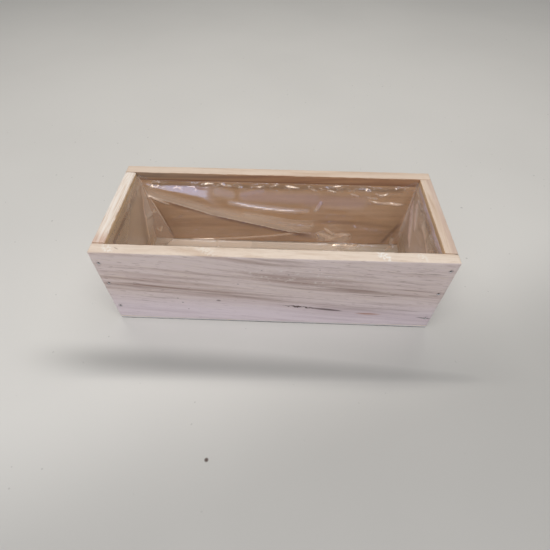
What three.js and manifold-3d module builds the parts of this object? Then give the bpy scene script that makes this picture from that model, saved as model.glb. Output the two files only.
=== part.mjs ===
// Wooden loaf mould: a nailed box of thin boards on a thin bottom panel, with a clear film liner
// glued to the inside of its walls. Millimetres, +Z up. X runs along the box and Y across it, with
// the front at -Y. The origin is the middle of the footprint, on the underside of the bottom panel.

import * as THREE from "three";
import { mergeVertices } from "three/addons/utils/BufferGeometryUtils.js";
import Module from "manifold-3d";

const wasm = await Module();
wasm.setup();

// The box. The front and back boards run its whole length, and the end boards stand between them.
const boxLength = 280;
const boxWidth = 112;
const boxHeight = 88;
const longBoardThickness = 10;
const endBoardThickness = 10;
const panelThickness = 3;

// Wall nails: headed brads through the front and back boards into the ends of the end boards.
const wallNailLength = 25;
const wallNailBelowRim = { left: 12.5, right: 9.5 }; // down to the uppermost nail
const wallNailAboveBase = { left: 19.5, right: 15 }; // up to the lowest nail
const wallNailMiddleRaise = 3.5; // how far the middle nail sits above halfway between them

// Panel nails: the same brads, shorter, up through the panel into the lower edges of the boards.
const panelNailLength = 18;
const panelNailsPerLongBoard = 4;
const panelNailsPerEndBoard = 2;
const panelNailEndInset = 22; // from the box's ends to the outermost nail of a long board
const panelNailEndSpacing = 30; // between the nails of an end board

// What all nails share.
const nailShankRadius = 0.7;
const nailHeadRadius = 1;
const nailHeadHeight = 0.7;
const nailPointLength = 2;
const nailSink = 0.6; // how far a head is driven below the wood
const nailClearance = 0.2; // between a nail and its hole, all round
const nailSides = 8;

// The film liner and the glue beads that hold it. The film is drawn thicker than the real one.
const filmThickness = 0.4;
const filmBelowRim = 8;
const filmCornerRadius = 8;
const filmFloorRadius = 6;
const filmGap = 0.3; // between the film and what it lies on
const beadWidth = 4;
const beadDepth = 0.5;
const beadBelowFilmEdge = 2;
const beadEndInset = 12; // from a wall's inside corner to the end of its bead
const beadSeatGap = 0.1;
const arcSteps = 6; // steps in a quarter turn

// Places that follow from the sizes above.
const insideLength = boxLength - 2 * endBoardThickness;
const insideWidth = boxWidth - 2 * longBoardThickness;
const filmFromWall = beadSeatGap + beadDepth + filmGap;
const filmTop = boxHeight - filmBelowRim;
const filmBottom = panelThickness + filmGap;
const beadHeight = filmTop - beadBelowFilmEdge - beadWidth / 2;

const finishes = {
  wood: new THREE.MeshStandardMaterial({ color: 0xcdb8a2, roughness: 0.72, metalness: 0 }),
  panel: new THREE.MeshStandardMaterial({ color: 0xd9cdbb, roughness: 0.75, metalness: 0 }),
  steel: new THREE.MeshStandardMaterial({ color: 0x55504b, roughness: 0.45, metalness: 0.9 }),
  film: new THREE.MeshStandardMaterial({
    color: 0xeeeae6,
    roughness: 0.12,
    metalness: 0,
    transparent: true,
    opacity: 0.25,
  }),
  glue: new THREE.MeshStandardMaterial({ color: 0xe6dcc6, roughness: 0.4, metalness: 0 }),
};

const mould = new THREE.Group();

function addPiece(name, geometry, finish) {
  const mesh = new THREE.Mesh(geometry, finishes[finish]);
  mesh.name = name;
  mould.add(mesh);
}

// A closed geometry as a solid that can be joined and cut, and back.
function solidFrom(geometry) {
  const bare = geometry.clone();
  bare.deleteAttribute("normal");
  bare.deleteAttribute("uv");
  const merged = mergeVertices(bare, 1e-4);
  return new wasm.Manifold(
    new wasm.Mesh({
      numProp: 3,
      vertProperties: merged.attributes.position.array,
      triVerts: new Uint32Array(merged.index.array),
    }),
  );
}

function geometryFrom(solid) {
  const { vertProperties, triVerts } = solid.getMesh();
  const geometry = new THREE.BufferGeometry();
  geometry.setAttribute("position", new THREE.BufferAttribute(vertProperties, 3));
  geometry.setIndex(new THREE.BufferAttribute(triVerts, 1));
  return geometry;
}

// A square-edged board between two opposite corners.
function boardBetween(low, high) {
  const size = high.map((value, axis) => value - low[axis]);
  const middle = high.map((value, axis) => (value + low[axis]) / 2);
  return new THREE.BoxGeometry(...size).translate(...middle);
}

// A brad on the Y axis, its head at the origin and its point towards -Y. Growing it by a clearance
// and a mouth above the head gives the hole that it sits in.
function bradGeometry(length, clearance = 0, mouth = 0) {
  const head = nailHeadRadius + clearance;
  const shank = nailShankRadius + clearance;
  const underHead = -nailHeadHeight - clearance;
  const profile = [
    [0, -length - clearance],
    [shank, -length + nailPointLength],
    [shank, underHead],
    [head, underHead],
    [head, mouth],
    [0, mouth],
  ].map(([radius, along]) => new THREE.Vector2(radius, along));
  return new THREE.LatheGeometry(profile, nailSides);
}

// Turns of a brad's axis that point it into the box from each side.
const drivenFrom = {
  front: (geometry) => geometry.rotateZ(Math.PI),
  back: (geometry) => geometry,
  below: (geometry) => geometry.rotateX(-Math.PI / 2),
};

// Every nail: its name, its length, the side it is driven from and the middle of its head.
const endBoardMiddle = boxLength / 2 - endBoardThickness / 2;
const longBoardMiddle = boxWidth / 2 - longBoardThickness / 2;
const nails = [];

function wallNailHeights(end) {
  const lowest = wallNailAboveBase[end];
  const highest = boxHeight - wallNailBelowRim[end];
  return [lowest, (lowest + highest) / 2 + wallNailMiddleRaise, highest];
}

for (const [side, sideSign] of [["front", -1], ["back", 1]]) {
  for (const [end, endSign] of [["left", -1], ["right", 1]]) {
    wallNailHeights(end).forEach((height, index) => {
      nails.push({
        name: `wall_nail_${side}_${end}_${index + 1}`,
        length: wallNailLength,
        from: side,
        at: [endSign * endBoardMiddle, sideSign * (boxWidth / 2 - nailSink), height],
      });
    });
  }
}

for (const [side, sideSign] of [["front", -1], ["back", 1]]) {
  const reach = boxLength / 2 - panelNailEndInset;
  for (let index = 0; index < panelNailsPerLongBoard; index += 1) {
    nails.push({
      name: `panel_nail_${side}_${index + 1}`,
      length: panelNailLength,
      from: "below",
      at: [
        -reach + (2 * reach * index) / (panelNailsPerLongBoard - 1),
        sideSign * longBoardMiddle,
        nailSink,
      ],
    });
  }
}

for (const [end, endSign] of [["left", -1], ["right", 1]]) {
  for (let index = 0; index < panelNailsPerEndBoard; index += 1) {
    const along = (index - (panelNailsPerEndBoard - 1) / 2) * panelNailEndSpacing;
    nails.push({
      name: `panel_nail_${end}_${index + 1}`,
      length: panelNailLength,
      from: "below",
      at: [endSign * endBoardMiddle, along, nailSink],
    });
  }
}

const placedBrad = (nail, clearance, mouth) =>
  drivenFrom[nail.from](bradGeometry(nail.length, clearance, mouth)).translate(...nail.at);

// The hole breaks out past the wood, so that its rim is cut cleanly.
const nailHoles = nails.map((nail) => solidFrom(placedBrad(nail, nailClearance, 2 * nailSink)));

function drilled(geometry) {
  return geometryFrom(nailHoles.reduce((wood, hole) => wood.subtract(hole), solidFrom(geometry)));
}

// Boards and panel.
const halfLength = boxLength / 2;
const halfWidth = boxWidth / 2;
const insideHalfLength = insideLength / 2;
const insideHalfWidth = insideWidth / 2;

const boards = {
  front_board: [
    [-halfLength, -halfWidth, panelThickness],
    [halfLength, -insideHalfWidth, boxHeight],
  ],
  back_board: [
    [-halfLength, insideHalfWidth, panelThickness],
    [halfLength, halfWidth, boxHeight],
  ],
  left_end_board: [
    [-halfLength, -insideHalfWidth, panelThickness],
    [-insideHalfLength, insideHalfWidth, boxHeight],
  ],
  right_end_board: [
    [insideHalfLength, -insideHalfWidth, panelThickness],
    [halfLength, insideHalfWidth, boxHeight],
  ],
};

for (const [name, corners] of Object.entries(boards)) {
  addPiece(name, drilled(boardBetween(...corners)), "wood");
}

const panel = boardBetween([-halfLength, -halfWidth, 0], [halfLength, halfWidth, panelThickness]);
addPiece("bottom_panel", drilled(panel), "panel");

for (const nail of nails) {
  addPiece(nail.name, placedBrad(nail), "steel");
}

// A level outline with rounded corners, counter-clockwise seen from above.
function roundedOutline(outlineHalfLength, outlineHalfWidth, radius, height) {
  const points = [];
  for (const [quarter, signX, signY] of [[0, 1, 1], [1, -1, 1], [2, -1, -1], [3, 1, -1]]) {
    for (let step = 0; step <= arcSteps; step += 1) {
      const angle = ((quarter + step / arcSteps) * Math.PI) / 2;
      points.push([
        signX * (outlineHalfLength - radius) + radius * Math.cos(angle),
        signY * (outlineHalfWidth - radius) + radius * Math.sin(angle),
        height,
      ]);
    }
  }
  return points;
}

// A closed body through level outlines of equal count, listed from the lowest up.
function loftSolid(outlines) {
  const count = outlines[0].length;
  const last = (outlines.length - 1) * count;
  const faces = [];
  for (let point = 0; point < count; point += 1) {
    const next = (point + 1) % count;
    for (let base = 0; base < last; base += count) {
      faces.push(base + point, base + next, base + count + next);
      faces.push(base + point, base + count + next, base + count + point);
    }
    if (point > 0 && next > 0) {
      faces.push(0, next, point);
      faces.push(last, last + point, last + next);
    }
  }
  const geometry = new THREE.BufferGeometry();
  geometry.setAttribute("position", new THREE.Float32BufferAttribute(outlines.flat(2), 3));
  geometry.setIndex(faces);
  return solidFrom(geometry);
}

// A block with rounded upright corners and a rounded floor edge, inset from the liner's outside.
function basinSolid(inset, top) {
  const floorRadius = filmFloorRadius - inset;
  const outlines = [];
  for (let step = 0; step <= arcSteps; step += 1) {
    const angle = (step / arcSteps) * (Math.PI / 2);
    const drawnIn = inset + floorRadius * (1 - Math.sin(angle));
    outlines.push(
      roundedOutline(
        insideHalfLength - filmFromWall - drawnIn,
        insideHalfWidth - filmFromWall - drawnIn,
        filmCornerRadius - drawnIn,
        filmBottom + inset + floorRadius * (1 - Math.cos(angle)),
      ),
    );
  }
  outlines.push(
    roundedOutline(
      insideHalfLength - filmFromWall - inset,
      insideHalfWidth - filmFromWall - inset,
      filmCornerRadius - inset,
      top,
    ),
  );
  return loftSolid(outlines);
}

const linerHollow = basinSolid(filmThickness, filmTop + filmBelowRim);
addPiece("film_liner", geometryFrom(basinSolid(0, filmTop).subtract(linerHollow)), "film");

// A glue bead lying along X on a wall that faces +Y: flat against the wood, rounded towards the film.
function beadGeometry(wallLength) {
  const section = new THREE.Shape();
  section.absellipse(0, 0, beadWidth / 2, beadDepth, 0, Math.PI);
  const length = wallLength - 2 * beadEndInset;
  const bead = new THREE.ExtrudeGeometry(section, {
    depth: length,
    bevelEnabled: false,
    curveSegments: 2 * arcSteps,
  });
  return bead.translate(0, beadSeatGap, -length / 2).rotateY(Math.PI / 2);
}

for (const [side, wallLength, wallDistance, turn] of [
  ["front", insideLength, insideHalfWidth, 0],
  ["right", insideWidth, insideHalfLength, 1],
  ["back", insideLength, insideHalfWidth, 2],
  ["left", insideWidth, insideHalfLength, 3],
]) {
  const bead = beadGeometry(wallLength)
    .translate(0, -wallDistance, beadHeight)
    .rotateZ((turn * Math.PI) / 2);
  addPiece(`glue_bead_${side}`, bead, "glue");
}

export default mould;
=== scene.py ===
"""The looks of a nailed wooden loaf mould with a clear film liner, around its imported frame.

It is laid out as an add-on and is run as a script. Sizes are in metres.
"""

import math
import random
from collections import namedtuple

import bmesh
import bpy
import numpy as np
from mathutils import Matrix, Vector


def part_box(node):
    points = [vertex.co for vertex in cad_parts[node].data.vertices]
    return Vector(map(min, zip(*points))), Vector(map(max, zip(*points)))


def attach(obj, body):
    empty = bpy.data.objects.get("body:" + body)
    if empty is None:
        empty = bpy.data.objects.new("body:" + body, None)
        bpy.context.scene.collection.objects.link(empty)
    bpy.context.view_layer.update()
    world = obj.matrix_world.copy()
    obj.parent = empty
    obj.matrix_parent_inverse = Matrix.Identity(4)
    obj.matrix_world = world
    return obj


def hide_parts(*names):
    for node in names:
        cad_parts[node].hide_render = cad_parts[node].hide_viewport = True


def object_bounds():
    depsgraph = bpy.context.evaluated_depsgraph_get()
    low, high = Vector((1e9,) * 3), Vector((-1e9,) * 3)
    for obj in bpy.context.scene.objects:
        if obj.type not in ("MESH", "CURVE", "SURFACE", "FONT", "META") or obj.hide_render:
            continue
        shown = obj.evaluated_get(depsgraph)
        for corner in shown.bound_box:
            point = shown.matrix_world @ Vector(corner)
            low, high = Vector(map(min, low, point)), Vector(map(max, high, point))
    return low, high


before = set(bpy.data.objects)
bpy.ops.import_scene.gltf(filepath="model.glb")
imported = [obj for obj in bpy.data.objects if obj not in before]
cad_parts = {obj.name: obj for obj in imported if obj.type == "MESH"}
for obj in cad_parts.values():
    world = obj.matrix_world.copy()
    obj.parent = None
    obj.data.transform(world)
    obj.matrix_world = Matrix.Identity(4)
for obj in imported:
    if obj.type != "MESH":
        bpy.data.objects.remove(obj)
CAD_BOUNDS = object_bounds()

bl_info = {
    "name": "Loaf Mould",
    "version": (1, 0, 0),
    "blender": (4, 5, 0),
    "location": "View3D > Sidebar > Loaf Mould",
    "description": "Builds a nailed wooden loaf mould with a clear film liner",
    "category": "Add Mesh",
}

MM = 0.001
ONE_BODY = "root"
PANEL = "bottom_panel"
LINER = "film_liner"
NAIL_NODES = sorted(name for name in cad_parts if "_nail_" in name)
GLUE_NODES = sorted(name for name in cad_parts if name.startswith("glue_bead_"))

BOX_LOW, BOX_HIGH = (Vector(corner) for corner in CAD_BOUNDS)
BOX_SIZE = BOX_HIGH - BOX_LOW


def linear(red, green, blue):
    """A colour written as screen values from 0 to 255, in the linear values that shaders use."""
    shares = [value / 255 for value in (red, green, blue)]
    return tuple(s / 12.92 if s <= 0.04045 else ((s + 0.055) / 1.055) ** 2.4 for s in shares)


# ---------------------------------------------------------------- values a user would change


def colour_property(name, description, default):
    return bpy.props.FloatVectorProperty(
        name=name, description=description, default=default, size=3, min=0, max=1, subtype="COLOR"
    )


def length_property(name, description, default):
    return bpy.props.FloatProperty(
        name=name, description=description, default=default, min=0, precision=5, unit="LENGTH"
    )


class LoafMouldSizes(bpy.types.PropertyGroup):
    """Sizes that the frame doesn't give."""

    edge_ease: length_property("Edge ease", "Radius worn onto the boards' edges", 0.7 * MM)
    board_mesh: length_property("Board mesh", "Spacing of a board's mesh", 2.2 * MM)
    board_wave: length_property("Board wave", "Depth of the unevenness of the wood", 0.22 * MM)
    edge_wear: length_property("Edge wear", "Depth of the nibbles along the edges", 0.5 * MM)
    nail_hole_gap: length_property("Hole gap", "Gap between a nail's head and its hole", 0.15 * MM)
    film_gauge: length_property("Film gauge", "Thickness of the film", 0.1 * MM)
    film_mesh: length_property("Film mesh", "Spacing of the film's mesh", 1.4 * MM)
    film_slack: bpy.props.FloatProperty(
        name="Film slack", description="Height of the film's folds beside their drawn height",
        default=1.0, min=0, max=2, subtype="FACTOR",
    )


class LoafMouldColours(bpy.types.PropertyGroup):
    """Colours of the wood, film, steel and stage."""

    sapwood: colour_property("Sapwood", "Palest wood, as on the top edges", linear(228, 212, 195))
    face_wood: colour_property("Face wood", "Ground colour of the outer faces", linear(226, 209, 205))
    band_wood: colour_property("Band wood", "Broad darker bands of the grain", linear(184, 156, 146))
    streak_wood: colour_property("Streak wood", "Thin dark streaks of the grain", linear(128, 97, 82))
    warm_wood: colour_property("Warm wood", "Ground colour of the inner faces", linear(220, 178, 138))
    warm_streak: colour_property("Warm streak", "Grain of the inner faces", linear(166, 120, 84))
    # Painted light: the inner end faces take a brighter copy of the inner wood colour, standing in for the
    # light they get.
    painted_light_end_wood: colour_property("Lit wood", "Ground colour of the inner end faces", linear(248, 218, 180))
    end_grain: colour_property("End grain", "Sawn ends of the boards", linear(196, 168, 142))
    stain: colour_property("Stain", "Dark resin streak", linear(66, 42, 34))
    rust: colour_property("Rust stain", "Orange streaks in the wood", linear(176, 112, 74))
    nail_steel: colour_property("Nail steel", "Dull dark steel", linear(40, 35, 33))
    nail_rust: colour_property("Nail rust", "Rust on the nails", linear(58, 36, 26))
    # The film's haze colour whitens creased and crumpled film, and it also paints highlights on the creases
    # and light in patches.
    film_haze_and_light: colour_property("Film haze", "Milkiness of the film", linear(252, 238, 222))
    film_glint: colour_property("Film glint", "Tint of the glints on the folds", linear(255, 226, 198))
    # Painted reflection: the film's sky tint is laid where the film would mirror the sky.
    film_painted_sky: colour_property("Film cool", "Milkiness where the film shows the sky", linear(210, 196, 224))
    film_gleam: colour_property("Film gleam", "Tint of what the film mirrors", linear(214, 226, 255))
    glue: colour_property("Glue", "Dried glue", linear(172, 138, 108))
    floor: colour_property("Floor", "Pale painted tabletop", linear(215, 213, 209))


# ---------------------------------------------------------------- node trees as expressions


class Signal:
    """An output of a node tree that can stand in sums: 1 - mask adds the Math node it needs."""

    def __init__(self, graph, socket):
        self.graph = graph
        self.socket = socket

    def __add__(self, other):
        return self.graph.math("ADD", self, other)

    def __radd__(self, other):
        return self.graph.math("ADD", other, self)

    def __sub__(self, other):
        return self.graph.math("SUBTRACT", self, other)

    def __rsub__(self, other):
        return self.graph.math("SUBTRACT", other, self)

    def __mul__(self, other):
        return self.graph.math("MULTIPLY", self, other)

    def __rmul__(self, other):
        return self.graph.math("MULTIPLY", other, self)

    def __truediv__(self, other):
        return self.graph.math("DIVIDE", self, other)

    def __rtruediv__(self, other):
        return self.graph.math("DIVIDE", other, self)

    def __pow__(self, other):
        return self.graph.math("POWER", self, other)


class Graph:
    """Adds nodes to a shader or geometry tree."""

    def __init__(self, tree):
        self.tree = tree

    def feed(self, socket, value):
        if isinstance(value, Signal):
            self.tree.links.new(value.socket, socket)
        else:
            socket.default_value = value

    def node(self, kind, settings=None, inputs=None):
        made = self.tree.nodes.new(kind)
        for key, value in (settings or {}).items():
            setattr(made, key, value)
        for key, value in (inputs or {}).items():
            self.feed(made.inputs[key], value)
        return made

    def signal(self, kind, settings=None, inputs=None, output=0):
        return Signal(self, self.node(kind, settings, inputs).outputs[output])

    def math(self, operation, *values, clamp=False):
        settings = {"operation": operation, "use_clamp": clamp}
        return self.signal("ShaderNodeMath", settings, dict(enumerate(values)))

    def vector(self, operation, *values):
        return self.signal("ShaderNodeVectorMath", {"operation": operation}, dict(enumerate(values)))

    def scaled(self, vector, factor):
        made = self.node("ShaderNodeVectorMath", {"operation": "SCALE"}, {0: vector, "Scale": factor})
        return Signal(self, made.outputs[0])

    def joined(self, x, y, z):
        return self.signal("ShaderNodeCombineXYZ", inputs={0: x, 1: y, 2: z})

    def parts(self, vector):
        made = self.node("ShaderNodeSeparateXYZ", inputs={0: vector})
        return [Signal(self, output) for output in made.outputs]

    def ramp(self, value, low, high):
        """0 below low, 1 above high and smooth between them; low may be the greater."""
        settings = {"interpolation_type": "SMOOTHSTEP"}
        return self.signal("ShaderNodeMapRange", settings, {0: value, 1: low, 2: high, 3: 0.0, 4: 1.0})

    def mixed(self, first, second, factor):
        """One colour laid over another by a factor from 0 to 1."""
        inputs = {0: factor, 6: first, 7: second}
        return self.signal("ShaderNodeMix", {"data_type": "RGBA"}, inputs, output=2)

    def noise(self, vector, scale, detail=2.0, roughness=0.5, distortion=0.0, colour=False):
        inputs = {
            "Vector": vector, "Scale": scale, "Detail": detail,
            "Roughness": roughness, "Distortion": distortion,
        }
        return self.signal("ShaderNodeTexNoise", None, inputs, output=1 if colour else 0)

    def mapped(self, vector, location=(0, 0, 0), rotation=(0, 0, 0)):
        """A vector turned and then moved."""
        inputs = {"Vector": vector, "Location": location, "Rotation": rotation}
        return self.signal("ShaderNodeMapping", None, inputs)

    def stretched(self, vector, x, y, z):
        return self.vector("MULTIPLY", vector, (x, y, z))


def opaque(colour):
    return (*colour, 1.0)


def shader_graph(name):
    """A new material and the graph of its emptied tree."""
    material = bpy.data.materials.new(name)
    material.use_nodes = True
    material.node_tree.nodes.clear()
    return material, Graph(material.node_tree)


def finish_surface(graph, shader):
    output = graph.node("ShaderNodeOutputMaterial")
    graph.tree.links.new(shader.outputs[0], output.inputs["Surface"])


def bumped(graph, height, depth, strength=1.0):
    inputs = {"Height": height, "Distance": depth, "Strength": strength}
    return graph.signal("ShaderNodeBump", None, inputs)


# ---------------------------------------------------------------- materials


def grain_axes(graph, along, tilt, seed):
    """Coordinates of a piece of wood: X runs along its grain. tilt turns the grain in its face."""
    place = graph.signal("ShaderNodeTexCoord", output=3)
    if along == "Y":
        place = graph.mapped(place, rotation=(0, 0, math.radians(-90)))
    place = graph.mapped(place, rotation=(0, math.radians(tilt), 0))
    return graph.mapped(place, location=(0.37 * seed, 0.11 * seed, 0.23 * seed))


def grain_signals(graph, place):
    """What the grain looks like at a point: its broad bands, lines, fibres and pores, each 0 to 1."""
    drift = graph.noise(graph.stretched(place, 6, 14, 14), 1.0, detail=1.0, colour=True)
    drift = graph.vector("SUBTRACT", drift, (0.5, 0.5, 0.5))
    drift = graph.vector("MULTIPLY", drift, (0.0, 0.014, 0.014))
    bent = graph.vector("ADD", place, drift)
    return {
        "bands": graph.noise(graph.stretched(bent, 4.5, 42, 42), 1.0, detail=2.0),
        "lines": graph.noise(graph.stretched(bent, 9, 420, 420), 1.0, detail=3.0, roughness=0.65),
        "striae": graph.noise(graph.stretched(bent, 30, 1100, 1100), 1.0, detail=2.0, roughness=0.6),
        "fibres": graph.noise(graph.stretched(place, 85, 2300, 2300), 1.0, detail=2.0),
        "pores": graph.noise(graph.stretched(place, 130, 1250, 1250), 1.0, detail=1.0),
        "rings": ring_signal(graph, bent),
    }


def ring_signal(graph, place):
    """Growth rings round a pith that lies outside the board, tilted so that they run out in arches."""
    x, y, z = graph.parts(place)
    across = y + 0.061 + x * 0.035
    up = z + 0.024 - x * 0.05
    reach = graph.math("SQRT", across * across + up * up)
    return graph.math("SINE", reach * (2 * math.pi / 0.0062)) * 0.5 + 0.5


def spot(graph, place, middle, length, width, slope=0.0, up_axis=2):
    """A soft lengthwise mark, 1 in its middle: middle is its place along the board and up it."""
    coordinates = graph.parts(place)
    x, up = coordinates[0], coordinates[up_axis]
    along = (x - middle[0]) / (length / 2)
    side = (up - middle[1] - (x - middle[0]) * slope) / (width / 2)
    return graph.ramp(along * along + side * side, 1.0, 0.0)


def segment(along, up, start, end):
    """Where a point lies by a line on a face: its share of the way from start to end and its
    distance from the line. The ends are in metres along the face and up it.
    """
    start, end = np.array(start), np.array(end)
    length = float(np.linalg.norm(end - start))
    run, rise = (float(value) for value in (end - start) / length)
    share = (along * run + up * rise - float(start @ (run, rise))) / length
    side = up * run - along * rise - float(start[1] * run - start[0] * rise)
    return share, side


def line_mark(graph, along, up, start, end, width):
    """A soft line from start to end, 1 in its middle."""
    share, side = segment(along, up, start, end)
    ends = graph.ramp(graph.math("ABSOLUTE", share - 0.5), 0.55, 0.32)
    return graph.ramp(graph.math("ABSOLUTE", side), width / 2, 0.0) * ends


def face_toward(graph, axis, sign):
    """1 on the faces that look along an axis in the given direction, and 0 on the others."""
    facing = graph.parts(graph.signal("ShaderNodeTexCoord", output=1))
    return graph.ramp(facing[axis] * sign, 0.4, 0.7)


def wood_material(name, colours, ground, inner, marks, along="X", tilt=0.0, seed=1.0, band=0.8):
    """Raw sawn wood. ground is its colour between the bands, inner the axis, sign and ground colour
    of the face that looks into the box, and marks adds its stains and, on some boards, painted light and
    shade.
    """
    material, graph = shader_graph(name)
    place = grain_axes(graph, along, tilt, seed)
    grain = grain_signals(graph, place)
    facing = graph.parts(graph.signal("ShaderNodeTexCoord", output=1))

    bands = graph.ramp(grain["bands"] + (grain["rings"] - 0.5) * 0.12, 0.42, 0.68)
    lines = graph.ramp(grain["lines"], 0.45, 0.7)
    pores = graph.ramp(grain["pores"], 0.64, 0.72)
    axis, sign, inner_ground = inner
    inside = graph.ramp(facing[axis] * sign, 0.4, 0.7)
    calm = 1.0 - 0.45 * inside
    warm = opaque(colours.warm_streak)
    band_colour = graph.mixed(opaque(colours.band_wood), warm, inside)
    streak_colour = graph.mixed(opaque(colours.streak_wood), warm, inside)
    pale_colour = graph.mixed(opaque(colours.sapwood), opaque(inner_ground), inside)
    colour = graph.mixed(opaque(ground), opaque(inner_ground), inside)
    colour = graph.mixed(colour, band_colour, bands * calm * band)
    colour = graph.mixed(colour, streak_colour, lines * calm * (0.14 + 0.2 * bands))
    colour = graph.mixed(colour, streak_colour, graph.ramp(grain["striae"], 0.54, 0.74) * calm * 0.3)
    colour = graph.mixed(colour, pale_colour, graph.ramp(grain["striae"], 0.46, 0.28) * 0.4)
    colour = graph.mixed(colour, pale_colour, graph.ramp(grain["fibres"], 0.5, 0.75) * 0.4)
    colour = graph.mixed(colour, streak_colour, pores * 0.35)

    top = graph.ramp(facing[2], 0.35, 0.85)
    top_grain = bands * 0.4 + lines * 0.35 + graph.ramp(grain["striae"], 0.5, 0.75) * 0.2
    top_colour = graph.mixed(opaque(colours.sapwood), opaque(colours.end_grain), top_grain)
    colour = graph.mixed(colour, top_colour, top * 0.85)
    end = graph.math("ABSOLUTE", facing[1 if along == "Y" else 0])
    end = graph.ramp(end, 0.6, 0.9)
    late_wood = opaque(linear(174, 144, 118))
    ring_colour = graph.mixed(opaque(colours.end_grain), late_wood, grain["rings"] * 0.7)
    colour = graph.mixed(colour, ring_colour, end)
    colour = marks(graph, colour, grain, top)

    bruise = graph.signal("ShaderNodeAttribute", {"attribute_name": "bruise"}, output=2)
    colour = graph.mixed(colour, opaque(colours.stain), bruise * 0.4)

    relief = grain["lines"] * 0.5 + grain["striae"] * 0.4 + grain["fibres"] * 0.35 - pores * 0.5
    shader = graph.node("ShaderNodeBsdfPrincipled", inputs={
        "Base Color": colour,
        "Roughness": 0.62 + 0.2 * grain["lines"],
        "Normal": bumped(graph, relief, 0.25 * MM, 0.7),
    })
    shader.inputs["Specular IOR Level"].default_value = 0.3
    finish_surface(graph, shader)
    return material


# Marks on the front board's face: shares of its length and height where each is, its length and
# width in millimetres, its slope and its strength.
FRONT_BANDS = (
    (0.60, 0.70, 150, 30, -0.09, 0.18),
    (0.50, 0.94, 80, 12, -0.02, 0.3),
    (0.10, 0.54, 110, 7, -0.05, 0.3),
    (0.27, 0.50, 170, 9, -0.09, 0.4),
    (0.44, 0.42, 120, 5, -0.09, 0.3),
    (0.66, 0.31, 170, 6, -0.10, 0.4),
    (0.80, 0.55, 110, 7, -0.09, 0.5),
    (0.86, 0.36, 70, 4, -0.10, 0.35),
    (0.90, 0.72, 60, 5, -0.08, 0.35),
)
FRONT_LINES = (
    (0.14, 0.455, 62, 1.3, -0.06, 0.5),
    (0.16, 0.36, 44, 1.1, -0.06, 0.45),
    (0.09, 0.80, 34, 1.2, -0.05, 0.5),
    (0.33, 0.74, 60, 1.1, -0.06, 0.4),
    (0.44, 0.50, 90, 1.2, -0.09, 0.4),
    (0.57, 0.44, 84, 1.1, -0.09, 0.45),
    (0.70, 0.60, 84, 1.4, -0.10, 0.55),
    (0.80, 0.50, 54, 1.6, -0.04, 0.7),
    (0.90, 0.60, 40, 1.2, -0.09, 0.6),
    (0.86, 0.28, 70, 1.2, -0.08, 0.55),
    (0.74, 0.38, 90, 1.1, -0.09, 0.4),
    (0.92, 0.84, 36, 1.2, -0.05, 0.4),
)
FRONT_SCUFFS = ((0.8, 15, 0.8), (0.05, 12, 0.5), (0.32, 22, 0.3), (0.9, 10, 0.35))
FRONT_SPECKS = (
    (0.21, 0.36, 1.4), (0.222, 0.29, 1.6), (0.235, 0.18, 1.2), (0.335, 0.345, 3.2), (0.4, 0.62, 1.4),
    (0.545, 0.78, 1.4), (0.63, 0.86, 1.2), (0.47, 0.83, 1.2),
)


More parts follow.
